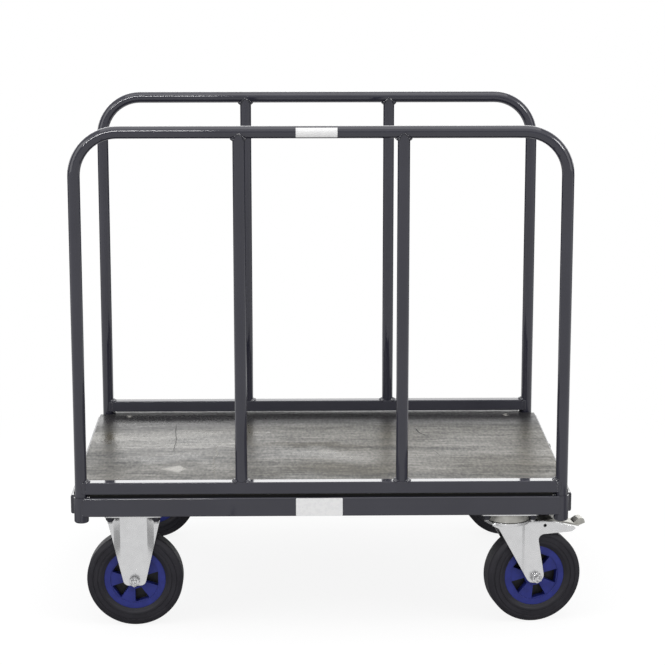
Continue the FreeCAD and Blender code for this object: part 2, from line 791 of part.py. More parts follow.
def brake_arm():
    """Bent arm of the brake lever, from its knuckle to its pedal, just over the fork's tail."""
    end = tail_tip_x + brake_arm_lap
    top = [(brake_pin_x, brake_pin_z + brake_knuckle / 2, 0),
           (tail_shoulder_x, tail_shoulder_z + brake_arm_proud, brake_arm_sheet),
           (end, tail_tip_z + brake_arm_proud, 0)]
    under = [(end, tail_tip_z + brake_arm_proud - brake_arm_sheet, 0),
             (tail_shoulder_x, tail_shoulder_z + brake_arm_proud - brake_arm_sheet, brake_arm_sheet),
             (brake_pin_x, brake_pin_z, 0)]
    return prism(top + under, upright(-brake_arm_width / 2), Y * brake_arm_width)


def brake_shoe():
    """Shoe under the arm, hollowed to the tyre."""
    low = axle_z + brake_pin_reach
    start = V(brake_pin_x + brake_knuckle / 2, -brake_shoe_width / 2, low)
    high = brake_pin_z + brake_knuckle / 2 - brake_shoe_sink
    block = Part.makeBox(brake_shoe_length, brake_shoe_width, high - low, start)
    return block.cut(across_fork(wheel_r + brake_shoe_gap, swivel_trail, axle_z))


def brake_lever():
    """Brake lever: knuckle, arm, shoe and foot pedal."""
    half = brake_arm_width / 2
    knuckle = rod(brake_knuckle / 2, V(brake_pin_x, -half, brake_pin_z), Y * brake_arm_width)
    profile = [(tail_tip_x + u, tail_tip_z + v, r) for u, v, r in PEDAL]
    pedal = prism(profile, upright(-pedal_width / 2), Y * pedal_width)
    lever = knuckle.fuse([brake_arm(), brake_shoe(), pedal]).removeSplitter()
    return lever.cut(across_fork(brake_pin_diameter / 2 + running_gap, brake_pin_x, brake_pin_z))


def brake_spring():
    """Leaf spring under the crown that bears on the lever's knuckle."""
    tip_x = brake_pin_x - brake_knuckle / 2 - spring_gap
    root = lower_cup_diameter / 2 + spring_bend
    bend = crown_diameter / 2
    corners = [(root, crown_bottom, 0), (bend, crown_bottom, spring_bend), (tip_x, brake_pin_z + spring_sheet, 0),
               (tip_x, brake_pin_z, 0), (bend, crown_bottom - spring_sheet, spring_bend),
               (root, crown_bottom - spring_sheet, 0)]
    return prism(corners, upright(-spring_width / 2), Y * spring_width)


# Assembly
def chassis_nodes():
    """Rails, sockets, deck and their fasteners."""
    nodes = {}
    for side, sign in SIDES:
        nodes[side + "_rail"] = [side_rail(sign)]
    for end, sign in ENDS:
        nodes[end + "_end_rail"] = [end_rail(sign)]
    nodes["castor_cross_rails"] = castor_cross_rails()
    nodes["centre_cross_rail"] = [cross_rail(0, 1)]
    for side, sy in SIDES:
        for end, sx in ENDS:
            nodes[side + "_" + end + "_socket"] = [socket(sx * leg_x, sy * hoop_y)]
    nodes["chassis_plate"] = [chassis_plate()]
    nodes["deck"] = [deck()]
    nodes["deck_screws"] = [deck_screw(x, y) for x, y in deck_screw_places()]
    nodes["castor_bolts"] = at_castor_bolts(castor_bolt())
    nodes["castor_nuts"] = at_castor_bolts(castor_nut())
    return nodes


def hoop_nodes():
    """The two tube sides."""
    nodes = {}
    for side, sign in SIDES:
        nodes[side + "_hoop_tube"] = [hoop_tube(sign)]
        nodes[side + "_lower_rail"] = [lower_rail(sign)]
        nodes[side + "_posts"] = posts(sign)
    nodes["hoop_label"] = [hoop_label()]
    return nodes


def wheel_nodes(name, x, y, trail, turn, spoke_turn):
    """Tyre, centre and roller bearing of one castor."""
    nodes = {}
    nodes[name + "_tyre"] = [moved(tyre(trail), x, y, turn)]
    nodes[name + "_wheel_centre"] = [moved(wheel_centre(trail, spoke_turn), x, y, turn)]
    nodes[name + "_roller_bearing"] = [moved(solid, x, y, turn) for solid in roller_bearing(trail)]
    return nodes


def fixed_castor_nodes():
    """Both fixed castors."""
    nodes = {"fixed_axle_bolts": [], "fixed_axle_nuts": [], "fixed_axle_sleeves": []}
    for name, x, y, nut_side in FIXED_CASTORS:
        nodes[name + "_fork"] = [moved(fixed_fork(), x, y)]
        nodes["fixed_axle_bolts"].append(moved(axle_bolt(0, nut_side), x, y))
        nodes["fixed_axle_nuts"].append(moved(axle_nut(0, nut_side), x, y))
        nodes["fixed_axle_sleeves"].append(moved(axle_sleeve(0), x, y))
        nodes.update(wheel_nodes(name, x, y, 0, 0, 0))
    return nodes


def swivel_castor_nodes():
    """Both swivel castors, turned a little from straight ahead."""
    nodes = {"kingpins": [], "upper_race_cups": [], "lower_race_cups": [], "race_balls": []}
    for name, x, y, nut_side in SWIVEL_CASTORS:
        nodes[name + "_top_plate"] = [moved(swivel_top_plate(), x, y)]
        nodes["kingpins"].append(moved(kingpin(), x, y))
        nodes["upper_race_cups"].append(moved(upper_race_cup(), x, y))
        nodes["lower_race_cups"].append(moved(lower_race_cup(), x, y))
        nodes["race_balls"] += [moved(ball, x, y) for ball in race_balls()]
        turning = {"fork": swivel_fork(), "axle_bolt": axle_bolt(swivel_trail, nut_side),
                   "axle_nut": axle_nut(swivel_trail, nut_side), "axle_sleeve": axle_sleeve(swivel_trail),
                   "brake_pin": brake_pin(), "brake_lever": brake_lever(), "brake_spring": brake_spring()}
        for piece, shape in turning.items():
            nodes[name + "_" + piece] = [moved(shape, x, y, swivel_turn)]
        nodes.update(wheel_nodes(name, x, y, swivel_trail, swivel_turn, swivel_spoke_turn))
    return nodes


def write(nodes):
    """One file for each node, as a solid or a group of solids."""
    os.makedirs("parts", exist_ok=True)
    for name, solids in nodes.items():
        shape = solids[0] if len(solids) == 1 else Part.makeCompound(solids)
        shape.exportStep("parts/" + name + ".step")


def main():
    """Builds and writes the whole truck."""
    for group in (chassis_nodes(), hoop_nodes(), fixed_castor_nodes(), swivel_castor_nodes()):
        write(group)


main()
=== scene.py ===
"""Looks of the platform truck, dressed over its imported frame.

Metres and degrees. X runs along the truck, Y across it and away from the camera, Z up, with the floor at Z = 0.
"""
import logging
import math
from dataclasses import dataclass, field
from enum import Enum
from typing import Any, Optional, Union

import bpy
from mathutils import Matrix, Quaternion, Vector


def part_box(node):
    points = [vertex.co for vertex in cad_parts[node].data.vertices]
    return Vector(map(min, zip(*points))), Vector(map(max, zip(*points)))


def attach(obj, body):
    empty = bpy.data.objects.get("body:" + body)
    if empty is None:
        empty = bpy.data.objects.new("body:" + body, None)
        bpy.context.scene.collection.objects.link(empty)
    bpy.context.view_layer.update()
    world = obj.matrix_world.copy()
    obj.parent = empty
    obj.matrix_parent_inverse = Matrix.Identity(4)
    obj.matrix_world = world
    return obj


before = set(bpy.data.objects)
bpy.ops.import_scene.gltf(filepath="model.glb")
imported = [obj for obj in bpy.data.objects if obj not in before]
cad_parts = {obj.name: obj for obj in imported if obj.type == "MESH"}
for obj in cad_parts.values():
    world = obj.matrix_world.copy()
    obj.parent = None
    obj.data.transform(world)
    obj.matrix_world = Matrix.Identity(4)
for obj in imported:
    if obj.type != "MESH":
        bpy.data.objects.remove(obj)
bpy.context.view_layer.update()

Colour = tuple[float, float, float, float]
Point = tuple[float, float, float]
Span = tuple[float, float]
Path = list[Vector]
Material = bpy.types.Material
Socket = bpy.types.NodeSocket
Fed = Union[Socket, float, int, Point, Colour]

log = logging.getLogger("platform_truck")
NOISE_SPAN: Span = (0.3, 0.7)
SPOT_EDGE: Span = (1.0, 0.15)
SPOT_HEIGHT = 1000.0
EDGE_SAMPLES = 4
WAYS = (-1, 1)


def display(red: int, green: int, blue: int) -> Colour:
    """Scene-linear colour of an 8-bit display colour.

    Args:
        red: Red level, 0 to 255.
        green: Green level, 0 to 255.
        blue: Blue level, 0 to 255.

    Returns:
        Linear red, green and blue, with full alpha.
    """
    shares = [level / 255 for level in (red, green, blue)]
    lit = [s / 12.92 if s <= 0.04045 else ((s + 0.055) / 1.055) ** 2.4 for s in shares]
    return (lit[0], lit[1], lit[2], 1.0)


class Side(Enum):
    """Long side of the truck, with its sign on Y."""

    FRONT = -1
    REAR = 1

    @property
    def label(self) -> str:
        """Word that the side's nodes and bodies start with."""
        return self.name.lower()


class End(Enum):
    """Short end of the truck, with its sign on X."""

    LEFT = -1
    RIGHT = 1


class Rays(Enum):
    """Kinds of ray that the studio tells apart, by their Light Path outputs."""

    CAMERA = "Is Camera Ray"
    GLOSSY = "Is Glossy Ray"
    TRANSMISSION = "Is Transmission Ray"


class Graph:
    """A node tree, with short calls for the patterns that the finishes share."""

    def __init__(self, tree: bpy.types.NodeTree) -> None:
        """Keeps the tree that the nodes go into."""
        self.tree = tree

    def feed(self, socket: Socket, value: Fed) -> None:
        """Links a socket to another one, or sets its value.

        Args:
            socket: Input to feed.
            value: Output that is linked to it, or its plain value.
        """
        if isinstance(value, bpy.types.NodeSocket):
            self.tree.links.new(value, socket)
        else:
            socket.default_value = value

    def add(self, kind: str, sockets: Optional[dict[Union[str, int], Fed]] = None, **options: Any) -> bpy.types.Node:
        """Adds a node.

        Args:
            kind: Class name of the node.
            sockets: What each input gets, by its name or place.
            options: Settings of the node itself.

        Returns:
            The new node.
        """
        node = self.tree.nodes.new(kind)
        for name, value in options.items():
            setattr(node, name, value)
        for name, value in (sockets or {}).items():
            self.feed(node.inputs[name], value)
        return node

    def place(self) -> Socket:
        """Place on the piece, which is its place in the truck's frame."""
        return self.add("ShaderNodeTexCoord").outputs["Object"]

    def parts(self, vector: Socket) -> tuple[Socket, Socket, Socket]:
        """The three parts of a vector."""
        outputs = self.add("ShaderNodeSeparateXYZ", {0: vector}).outputs
        return outputs[0], outputs[1], outputs[2]

    def about(self, centre: Point, turn: float) -> Socket:
        """Place from a centre, on axes turned about Z.

        Args:
            centre: Point that becomes the origin.
            turn: Angle of the axes in degrees.

        Returns:
            The place on the new axes.
        """
        sockets = {"Vector": self.place(), "Location": centre, "Rotation": (0.0, 0.0, math.radians(turn))}
        return self.add("ShaderNodeMapping", sockets, vector_type="TEXTURE").outputs[0]

    def axle_radius(self, centre: Point, turn: float) -> Socket:
        """Distance from an axle that lies across the axes about a centre.

        Args:
            centre: Point on the axle.
            turn: Angle of the axes in degrees.

        Returns:
            The distance.
        """
        x, _, z = self.parts(self.about(centre, turn))
        return self.length(x, z)

    def length(self, first: Socket, second: Socket) -> Socket:
        """Length of a line with these two parts."""
        square = self.sum("ADD", self.sum("MULTIPLY", first, first), self.sum("MULTIPLY", second, second))
        return self.sum("SQRT", square)

    def noise(self, vector: Socket, scale: float, detail: float = 2.0, warp: float = 0.0) -> Socket:
        """Cloud noise.

        Args:
            vector: Place that it is read at.
            scale: Clouds per metre.
            detail: Octaves of finer noise.
            warp: How far the noise bends itself.

        Returns:
            Its level, about 0.3 to 0.7.
        """
        sockets = {"Vector": vector, "Scale": scale, "Detail": detail, "Distortion": warp}
        return self.add("ShaderNodeTexNoise", sockets).outputs[0]

    def grain(self, vector: Socket, stretch: Point, detail: float = 2.0) -> Socket:
        """Cloud noise with its own number of clouds per metre along each axis."""
        place = self.add("ShaderNodeMapping", {"Vector": vector, "Scale": stretch}).outputs[0]
        return self.noise(place, 1.0, detail)

    def ramp(self, value: Socket, start: Span, end: Span = (0.0, 1.0), soft: bool = False) -> Socket:
        """Maps one span of values onto another and stops at its ends.

        Args:
            value: Value to map.
            start: Span that it is read on.
            end: Span that it becomes.
            soft: Whether the ends ease in and out.

        Returns:
            The mapped value.
        """
        sockets = {0: value, 1: start[0], 2: start[1], 3: end[0], 4: end[1]}
        way = "SMOOTHSTEP" if soft else "LINEAR"
        return self.add("ShaderNodeMapRange", sockets, interpolation_type=way).outputs[0]

    def sum(self, operation: str, first: Fed, second: Fed = 0.0) -> Socket:
        """One step of arithmetic on two values."""
        return self.add("ShaderNodeMath", {0: first, 1: second}, operation=operation).outputs[0]

    def spot(self, vector: Socket, centre: tuple[float, float], half: tuple[float, float]) -> Socket:
        """Soft oval spot on a level face.

        Args:
            vector: Place on the face.
            centre: Middle of the spot.
            half: Half of its length and of its depth.

        Returns:
            1 in the middle and 0 outside.
        """
        sockets = {"Vector": vector, "Location": (*centre, 0.0), "Scale": (*half, SPOT_HEIGHT)}
        near = self.add("ShaderNodeMapping", sockets, vector_type="TEXTURE").outputs[0]
        length = self.add("ShaderNodeVectorMath", {0: near}, operation="LENGTH").outputs["Value"]
        return self.ramp(length, SPOT_EDGE, soft=True)

    def blend(self, *shares: tuple[Socket, float]) -> Socket:
        """Weighted sum of levels.

        Args:
            shares: Each level with its weight.

        Returns:
            The sum.
        """
        total = self.sum("MULTIPLY", *shares[0])
        for level, weight in shares[1:]:
            sockets = {0: level, 1: weight, 2: total}
            total = self.add("ShaderNodeMath", sockets, operation="MULTIPLY_ADD").outputs[0]
        return total

    def mix(self, share: Socket, first: Union[Socket, Colour], second: Union[Socket, Colour]) -> Socket:
        """Colour between two, by a share."""
        return self.add("ShaderNodeMix", {0: share, 6: first, 7: second}, data_type="RGBA").outputs[2]

    def light(self, strength: Fed) -> Socket:
        """White light of a strength."""
        return self.add("ShaderNodeEmission", {"Strength": strength}).outputs[0]

    def join(self, share: Socket, first: Socket, second: Socket) -> Socket:
        """Surface between two, by a share."""
        return self.add("ShaderNodeMixShader", {0: share, 1: first, 2: second}).outputs[0]

    def bump(self, height: Socket, depth: float, normal: Optional[Socket] = None) -> Socket:
        """Normal of a surface with a relief.

        Args:
            height: Relief, from 0 to 1.
            depth: Depth of the full relief.
            normal: Normal that the relief starts from.

        Returns:
            The bumped normal.
        """
        node = self.add("ShaderNodeBump", {"Height": height, "Distance": depth, "Strength": 1.0})
        if normal is not None:
            self.feed(node.inputs["Normal"], normal)
        return node.outputs[0]

    def soft_edge(self, radius: float) -> Socket:
        """Normal that rounds the piece's sharp edges."""
        return self.add("ShaderNodeBevel", {"Radius": radius}, samples=EDGE_SAMPLES).outputs[0]


class Coat:
    """A principled material in the making."""

    def __init__(self, name: str) -> None:
        """Starts the material with its shader.

        Args:
            name: Name of the material.
        """
        self.material = bpy.data.materials.new(name)
        self.material.use_nodes = True
        self.graph = Graph(self.material.node_tree)
        self.shader = self.material.node_tree.nodes["Principled BSDF"]

    def set(self, **sockets: Fed) -> Material:
        """Feeds the shader's inputs.

        Args:
            sockets: What each input gets, by its name with underscores for spaces.

        Returns:
            The material.
        """
        for name, value in sockets.items():
            self.graph.feed(self.shader.inputs[name.replace("_", " ")], value)
        return self.material

    def glow(self, surface: Socket) -> Material:
        """Shows a glowing surface in place of the shader.

        Args:
            surface: The surface, which isn't sampled as a lamp.

        Returns:
            The material.
        """
        self.graph.feed(self.material.node_tree.nodes["Material Output"].inputs["Surface"], surface)
        self.material.cycles.emission_sampling = "NONE"
        return self.material


@dataclass(frozen=True)
class PowderCoat:
    """Dark blue-grey powder coat with a faint orange-peel skin, and pale specks of painted glint where it covers a
    weld.
    """

    name: str = "frame_paint"
    tone: Colour = display(51, 51, 62)
    shade: Colour = display(46, 46, 57)
    gloss: Span = (0.035, 0.065)
    gloss_scale: float = 35.0
    level: float = 0.5
    index: float = 1.5
    cloud_scale: float = 7.0
    cloud_span: Span = (0.35, 0.65)
    peel_scale: float = 620.0
    peel_depth: float = 0.000008
    edge: float = 0.0007
    # Pale specks painted on as glints of a weld's lumps: noise scale (0 for none), colour and noise span.
    painted_glint_scale: float = 0.0
    painted_glint: Colour = display(176, 176, 178)
    painted_glint_span: Span = (0.66, 0.69)

    def material(self) -> Material:
        """Builds the paint.

        Returns:
            The material.
        """
        coat = Coat(self.name)
        graph = coat.graph
        place = graph.place()
        cloud = graph.ramp(graph.noise(place, self.cloud_scale, detail=3.0), self.cloud_span)
        colour = graph.mix(cloud, self.shade, self.tone)
        # Painted glints: noise-thresholded pale specks stand in for highlights on the weld bead.
        if self.painted_glint_scale:
            painted_glint = graph.ramp(graph.noise(place, self.painted_glint_scale, detail=1.0), self.painted_glint_span)
            colour = graph.mix(painted_glint, colour, self.painted_glint)
        peel = graph.noise(place, self.peel_scale, detail=1.0)
        normal = graph.bump(peel, self.peel_depth, graph.soft_edge(self.edge))
        rough = graph.ramp(graph.noise(place, self.gloss_scale), NOISE_SPAN, self.gloss)
        return coat.set(Base_Color=colour, Roughness=rough, Normal=normal, IOR=self.index,
                        Specular_IOR_Level=self.level)


@dataclass(frozen=True)
class Split:
    """A hairline crack or ridge in the board's face, running mostly across it; rise is -1 or 1."""

    start: tuple[float, float]
    end: tuple[float, float]
    sway: float
    width: float
    strength: float
    rise: float = -1.0


@dataclass(frozen=True)
class Blot:
    """A paler or darker area of the board: its middle, half size and level."""

    centre: tuple[float, float]
    half: tuple[float, float]
    level: float


@dataclass(frozen=True)
class FilmBoard:
    """Dark film-faced plywood: grain that shows through the film, a wooden patch, cracks, dark edges, and painted
    shade and reflection of the rear rail that darken the grain towards the rear.
    """

    name: str = "deck_board"
    dark: Colour = display(13, 13, 12)
    light: Colour = display(82, 76, 60)
    # The next two lines paint shade and a reflection of the rear rail: the grain's light end, darker and cooler near
    # the rail, and the span on Y over which it gives way to the light colour towards the front.
    rear_shade: Colour = display(56, 55, 57)
    rear_shading: Span = (0.28, 0.14)
    pale: Colour = display(120, 116, 104)
    rim: Colour = display(17, 17, 18)
    gloss: Span = (0.50, 0.16)
    rim_gloss: float = 0.8
    level: float = 0.122
    wave_stretch: Point = (5.0, 9.0, 1.0)
    wave_reach: float = 0.010
    smudge_scale: float = 9.0
    smudge_reach: float = 0.03
    streak_stretch: Point = (2.2, 23.0, 1.0)
    cloud_stretch: Point = (2.8, 7.5, 1.0)
    fibre_stretch: Point = (15.0, 140.0, 1.0)
    speckle_stretch: Point = (170.0, 62.0, 1.0)
    ridge_stretch: Point = (430.0, 50.0, 1.0)
    weights: tuple[float, float, float, float] = (1.05, 0.55, 0.85, 0.75)
    grain_span: Span = (1.2, 2.1)
    tint_span: Span = (1.15, 2.4)
    swell_weights: tuple[float, float] = (0.55, 0.9)
    relief_weights: tuple[float, float] = (0.5, 0.5)
    swell_depth: float = 0.0022
    split_depth: float = 0.0005
    grain_depth: float = 0.00005
    ridge_depth: float = 0.00011
    top: float = 0.290
    face_skin: Span = (0.0006, 0.0003)
    patch: tuple[float, float] = (-0.303, -0.158)
    patch_reach: tuple[float, float, float] = (0.052, 0.018, 0.036)
    patch_edge: Span = (1.0, 0.6)
    patch_share: float = 0.8
    patch_gloss: float = 0.75
    patch_rise: float = 0.25
    sway_stretch: Point = (1.0, 14.0, 1.0)
    sway_span: Span = (0.25, 0.75)
    split_core: float = 0.25
    split_taper: float = 0.7
    blots: tuple[Blot, ...] = (
        Blot((-0.390, 0.110), (0.220, 0.290), 0.38),
        Blot((-0.210, 0.070), (0.160, 0.290), 0.28),
        Blot((-0.300, -0.180), (0.260, 0.090), 0.02),
        Blot((-0.330, 0.290), (0.300, 0.090), 0.30),
        Blot((0.050, 0.310), (0.300, 0.050), 0.10),
        Blot((0.360, 0.210), (0.240, 0.060), -0.24),
        Blot((0.260, 0.090), (0.420, 0.200), -0.14),
        Blot((-0.340, -0.075), (0.170, 0.065), 0.36),
        Blot((-0.030, -0.042), (0.170, 0.066), 0.30),
        Blot((0.060, 0.220), (0.300, 0.060), -0.30),
        Blot((-0.010, 0.030), (0.210, 0.045), -0.50),
        Blot((0.040, -0.170), (0.210, 0.085), -0.62),
        Blot((0.330, 0.060), (0.130, 0.110), 0.16),
        Blot((0.380, -0.140), (0.220, 0.140), -0.34),
    )
    splits: tuple[Split, ...] = (
        Split((-0.328, 0.262), (-0.319, -0.053), 0.004, 0.0019, 0.65),
        Split((-0.226, 0.100), (-0.226, -0.240), 0.014, 0.0022, 0.6, rise=1.0),
        Split((0.220, 0.190), (0.245, 0.108), 0.008, 0.0030, 0.9),
        Split((0.250, -0.010), (0.262, -0.068), 0.006, 0.0022, 0.6),
    )

    def patch_mask(self, graph: Graph, place: Socket) -> Socket:
        """Mask of the kite-shaped patch.

        Args:
            graph: Tree that it goes into.
            place: Place on the board.

        Returns:
            1 inside the patch and 0 outside.
        """
        x, y, _ = graph.parts(place)
        aside = graph.sum("SUBTRACT", x, self.patch[0])
        tail, nose, half = self.patch_reach
        along = graph.sum("MAXIMUM", graph.sum("DIVIDE", aside, nose), graph.sum("DIVIDE", aside, -tail))
        across = graph.sum("DIVIDE", graph.sum("ABSOLUTE", graph.sum("SUBTRACT", y, self.patch[1])), half)
        return graph.ramp(graph.sum("ADD", along, across), self.patch_edge, soft=True)

    def split_mask(self, graph: Graph, place: Socket, split: Split) -> Socket:
        """Mask of one crack or ridge, up to its strength.

        Args:
            graph: Tree that it goes into.
            place: Place on the board.
            split: The crack or ridge.

        Returns:
            The mask.
        """
        x, y, _ = graph.parts(place)
        slope = (split.end[0] - split.start[0]) / (split.end[1] - split.start[1])
        run = graph.sum("SUBTRACT", y, split.start[1])
        sway = graph.ramp(graph.grain(place, self.sway_stretch, detail=3.0), self.sway_span,
                          (-split.sway, split.sway))
        line = graph.sum("ADD", graph.sum("MULTIPLY", run, slope), sway)
        aside = graph.sum("ABSOLUTE", graph.sum("SUBTRACT", graph.sum("SUBTRACT", x, split.start[0]), line))
        thin = graph.ramp(aside, (split.width, split.width * self.split_core))
        middle = (split.start[1] + split.end[1]) / 2
        half = abs(split.start[1] - split.end[1]) / 2
        length = graph.sum("ABSOLUTE", graph.sum("SUBTRACT", y, middle))
        inside = graph.ramp(length, (half, half * self.split_taper), (0.0, split.strength))
        return graph.sum("MULTIPLY", thin, inside)

    def material(self) -> Material:
        """Builds the board's face and edges.

        Returns:
            The material.
        """
        coat = Coat(self.name)
        graph = coat.graph
        place = graph.place()
        wave = graph.ramp(graph.grain(place, self.wave_stretch), NOISE_SPAN, (-self.wave_reach, self.wave_reach))
        shift = graph.add("ShaderNodeCombineXYZ", {1: wave}).outputs[0]
        bent = graph.add("ShaderNodeVectorMath", {0: place, 1: shift}, operation="ADD").outputs[0]
        streak = graph.grain(bent, self.streak_stretch, detail=5.0)
        cloud = graph.grain(place, self.cloud_stretch, detail=3.0)
        fibre = graph.grain(bent, self.fibre_stretch)
        speckle = graph.grain(place, self.speckle_stretch, detail=1.0)
        smudge = graph.ramp(graph.noise(place, self.smudge_scale, detail=3.0), NOISE_SPAN,
                            (-self.smudge_reach, self.smudge_reach))
        stray = graph.add("ShaderNodeVectorMath", {0: bent, 1: smudge}, operation="ADD").outputs[0]
        areas = [(graph.spot(stray, blot.centre, blot.half), blot.level) for blot in self.blots]
        grain = graph.blend(*zip((streak, cloud, fibre, speckle), self.weights))
        tint = graph.ramp(graph.blend((grain, 1.0), *areas), self.tint_span)
        # Painted shade and reflection of the rear rail: the grain's light end darkens and cools towards the rear.
        rear_shading = graph.mix(graph.ramp(graph.parts(place)[1], self.rear_shading, soft=True), self.rear_shade, self.light)
        colour = graph.mix(graph.ramp(grain, self.grain_span), self.dark, rear_shading)
        patch = self.patch_mask(graph, place)
        colour = graph.mix(graph.sum("MULTIPLY", patch, self.patch_share), colour, self.pale)
        marks = [(self.split_mask(graph, place, split), split.rise) for split in self.splits]
        for mask, rise in marks:
            colour = graph.mix(mask, colour, self.rim if rise < 0 else self.light)
        low, high = self.face_skin
        face = graph.ramp(graph.parts(place)[2], (self.top - low, self.top - high))
        colour = graph.mix(face, self.rim, colour)
        rubbed = graph.sum("MAXIMUM", tint, graph.sum("MULTIPLY", patch, self.patch_gloss))
        rough = graph.ramp(rubbed, (0.0, 1.0), self.gloss)
        matt = [graph.ramp(face, (1.0, 0.0))] + [mask for mask, rise in marks if rise < 0]
        for mask in matt:
            rough = graph.sum("MAXIMUM", rough, graph.sum("MULTIPLY", mask, self.rim_gloss))
        swell = graph.bump(graph.blend(*zip((streak, cloud), self.swell_weights)), self.swell_depth)
        lined = graph.bump(graph.blend(*marks, (patch, self.patch_rise)), self.split_depth, swell)
        grained = graph.bump(graph.blend(*zip((fibre, speckle), self.relief_weights)), self.grain_depth, lined)
        normal = graph.bump(graph.grain(place, self.ridge_stretch, detail=1.0), self.ridge_depth, grained)
        return coat.set(Base_Color=colour, Roughness=rough, Normal=normal, Specular_IOR_Level=self.level)


@dataclass(frozen=True)
class PlatedSteel:
    """Pressed steel with a bright or dull plating, clouded and finely brushed."""

    name: str
    tone: Colour
    shade: Colour
    gloss: Span
    cloud_scale: float = 55.0
    mottle_scale: float = 420.0
    weights: tuple[float, float] = (0.65, 0.35)
    blotch_span: Span = (0.36, 0.62)
    brush_stretch: Point = (160.0, 160.0, 2600.0)
    relief: float = 0.000012
    edge: float = 0.0005
    metallic: float = 1.0

    def material(self) -> Material:
        """Builds the plating.

        Returns:
            The material.
        """
        coat = Coat(self.name)
        graph = coat.graph
        place = graph.place()
        cloud = graph.noise(place, self.cloud_scale, detail=4.0, warp=0.6)
        mottle = graph.noise(place, self.mottle_scale)
        blotch = graph.blend(*zip((cloud, mottle), self.weights))
        colour = graph.mix(graph.ramp(blotch, self.blotch_span), self.shade, self.tone)
        rough = graph.ramp(mottle, NOISE_SPAN, self.gloss)
        brush = graph.grain(place, self.brush_stretch)
        normal = graph.bump(graph.sum("ADD", brush, mottle), self.relief, graph.soft_edge(self.edge))
        return coat.set(Base_Color=colour, Roughness=rough, Normal=normal, Metallic=self.metallic)


@dataclass(frozen=True)
class TyreRubber:
    """Black rubber with faint moulded lines round the axle and a dull bloom; lines give radius, half width, rise."""

    name: str
    centre: Point
    turn: float
    tone: Colour = display(36, 35, 41)
    bloom: Colour = display(43, 42, 48)
    bloom_scale: float = 34.0
    bloom_span: Span = (0.38, 0.66)
    gloss: Span = (0.5, 0.64)
    level: float = 0.2
    lines: tuple[tuple[float, float, float], ...] = ((0.0675, 0.0016, -1.0), (0.0770, 0.0012, 0.6),
                                                     (0.0895, 0.0020, -0.7))
    line_depth: float = 0.0003
    grit_scale: float = 900.0
    grit_depth: float = 0.00004

    def material(self) -> Material:
        """Builds the rubber.

        Returns:
            The material.
        """
        coat = Coat(self.name)
        graph = coat.graph
        radius = graph.axle_radius(self.centre, self.turn)
        rings = []
        for at, half, rise in self.lines:
            aside = graph.sum("ABSOLUTE", graph.sum("SUBTRACT", radius, at))
            rings.append((graph.ramp(aside, (half, 0.0), soft=True), rise))
        place = graph.place()
        cloud = graph.noise(place, self.bloom_scale, detail=4.0)
        colour = graph.mix(graph.ramp(cloud, self.bloom_span), self.tone, self.bloom)
        rough = graph.ramp(cloud, NOISE_SPAN, self.gloss)
        grit = graph.bump(graph.noise(place, self.grit_scale), self.grit_depth)
        normal = graph.bump(graph.blend(*rings), self.line_depth, grit)
        return coat.set(Base_Color=colour, Roughness=rough, Normal=normal, Specular_IOR_Level=self.level)


@dataclass(frozen=True)
class HubPlastic:
    """Blue moulded plastic, with painted shade that turns the depth of the pockets black."""

    name: str
    centre: Point
    turn: float
    tone: Colour = display(40, 49, 132)
    shade: Colour = display(34, 42, 118)
    # Colour of the painted shade in the pockets' depth.
    depth: Colour = display(9, 9, 13)
    cloud_scale: float = 60.0
    cloud_span: Span = (0.36, 0.64)
    # Distances from the wheel's mid-plane over which the painted pocket shade is full and fades out.
    lit: Span = (0.0017, 0.0032)
    pocket: Span = (0.0195, 0.0495)
    gloss: Span = (0.38, 0.52)
    gloss_scale: float = 180.0
    level: float = 0.3
    grain_scale: float = 1100.0
    grain_depth: float = 0.00003
    edge: float = 0.0006

    def material(self) -> Material:
        """Builds the plastic.

        Returns:
            The material.
        """
        coat = Coat(self.name)
        graph = coat.graph
        y = graph.parts(graph.about(self.centre, self.turn))[1]
        radius = graph.axle_radius(self.centre, self.turn)
        # Painted shade: near the mid-plane, within the pockets' radii, the plastic goes near black as if in shadow.
        painted_pocket_shade = graph.ramp(graph.sum("ABSOLUTE", y), (self.lit[1], self.lit[0]), soft=True)
        within = graph.sum("MULTIPLY", graph.sum("GREATER_THAN", radius, self.pocket[0]),
                           graph.sum("LESS_THAN", radius, self.pocket[1]))
        place = graph.place()
        cloud = graph.ramp(graph.noise(place, self.cloud_scale, detail=3.0), self.cloud_span)
        colour = graph.mix(cloud, self.shade, self.tone)
        colour = graph.mix(graph.sum("MULTIPLY", painted_pocket_shade, within), colour, self.depth)
        rough = graph.ramp(graph.noise(place, self.gloss_scale), NOISE_SPAN, self.gloss)
        grain = graph.noise(place, self.grain_scale, detail=1.0)
        normal = graph.bump(grain, self.grain_depth, graph.soft_edge(self.edge))
        return coat.set(Base_Color=colour, Roughness=rough, Normal=normal, Specular_IOR_Level=self.level)


@dataclass(frozen=True)
class BlankEnamel:
    """White enamel of the bare plates, faintly clouded."""

    name: str = "blank_plate"
    tone: Colour = display(252, 252, 252)
    shade: Colour = display(248, 248, 249)
    gloss: Span = (0.22, 0.34)
    cloud_scale: float = 90.0
    cloud_span: Span = (0.36, 0.64)
    grain_scale: float = 700.0
    grain_depth: float = 0.000015
    edge: float = 0.0003

    def material(self) -> Material:
        """Builds the enamel.

        Returns:
            The material.
        """
        coat = Coat(self.name)
        graph = coat.graph
        place = graph.place()
        cloud = graph.noise(place, self.cloud_scale, detail=4.0)
        colour = graph.mix(graph.ramp(cloud, self.cloud_span), self.shade, self.tone)
        rough = graph.ramp(cloud, NOISE_SPAN, self.gloss)
        grain = graph.noise(place, self.grain_scale, detail=1.0)
        normal = graph.bump(grain, self.grain_depth, graph.soft_edge(self.edge))
        return coat.set(Base_Color=colour, Roughness=rough, Normal=normal)


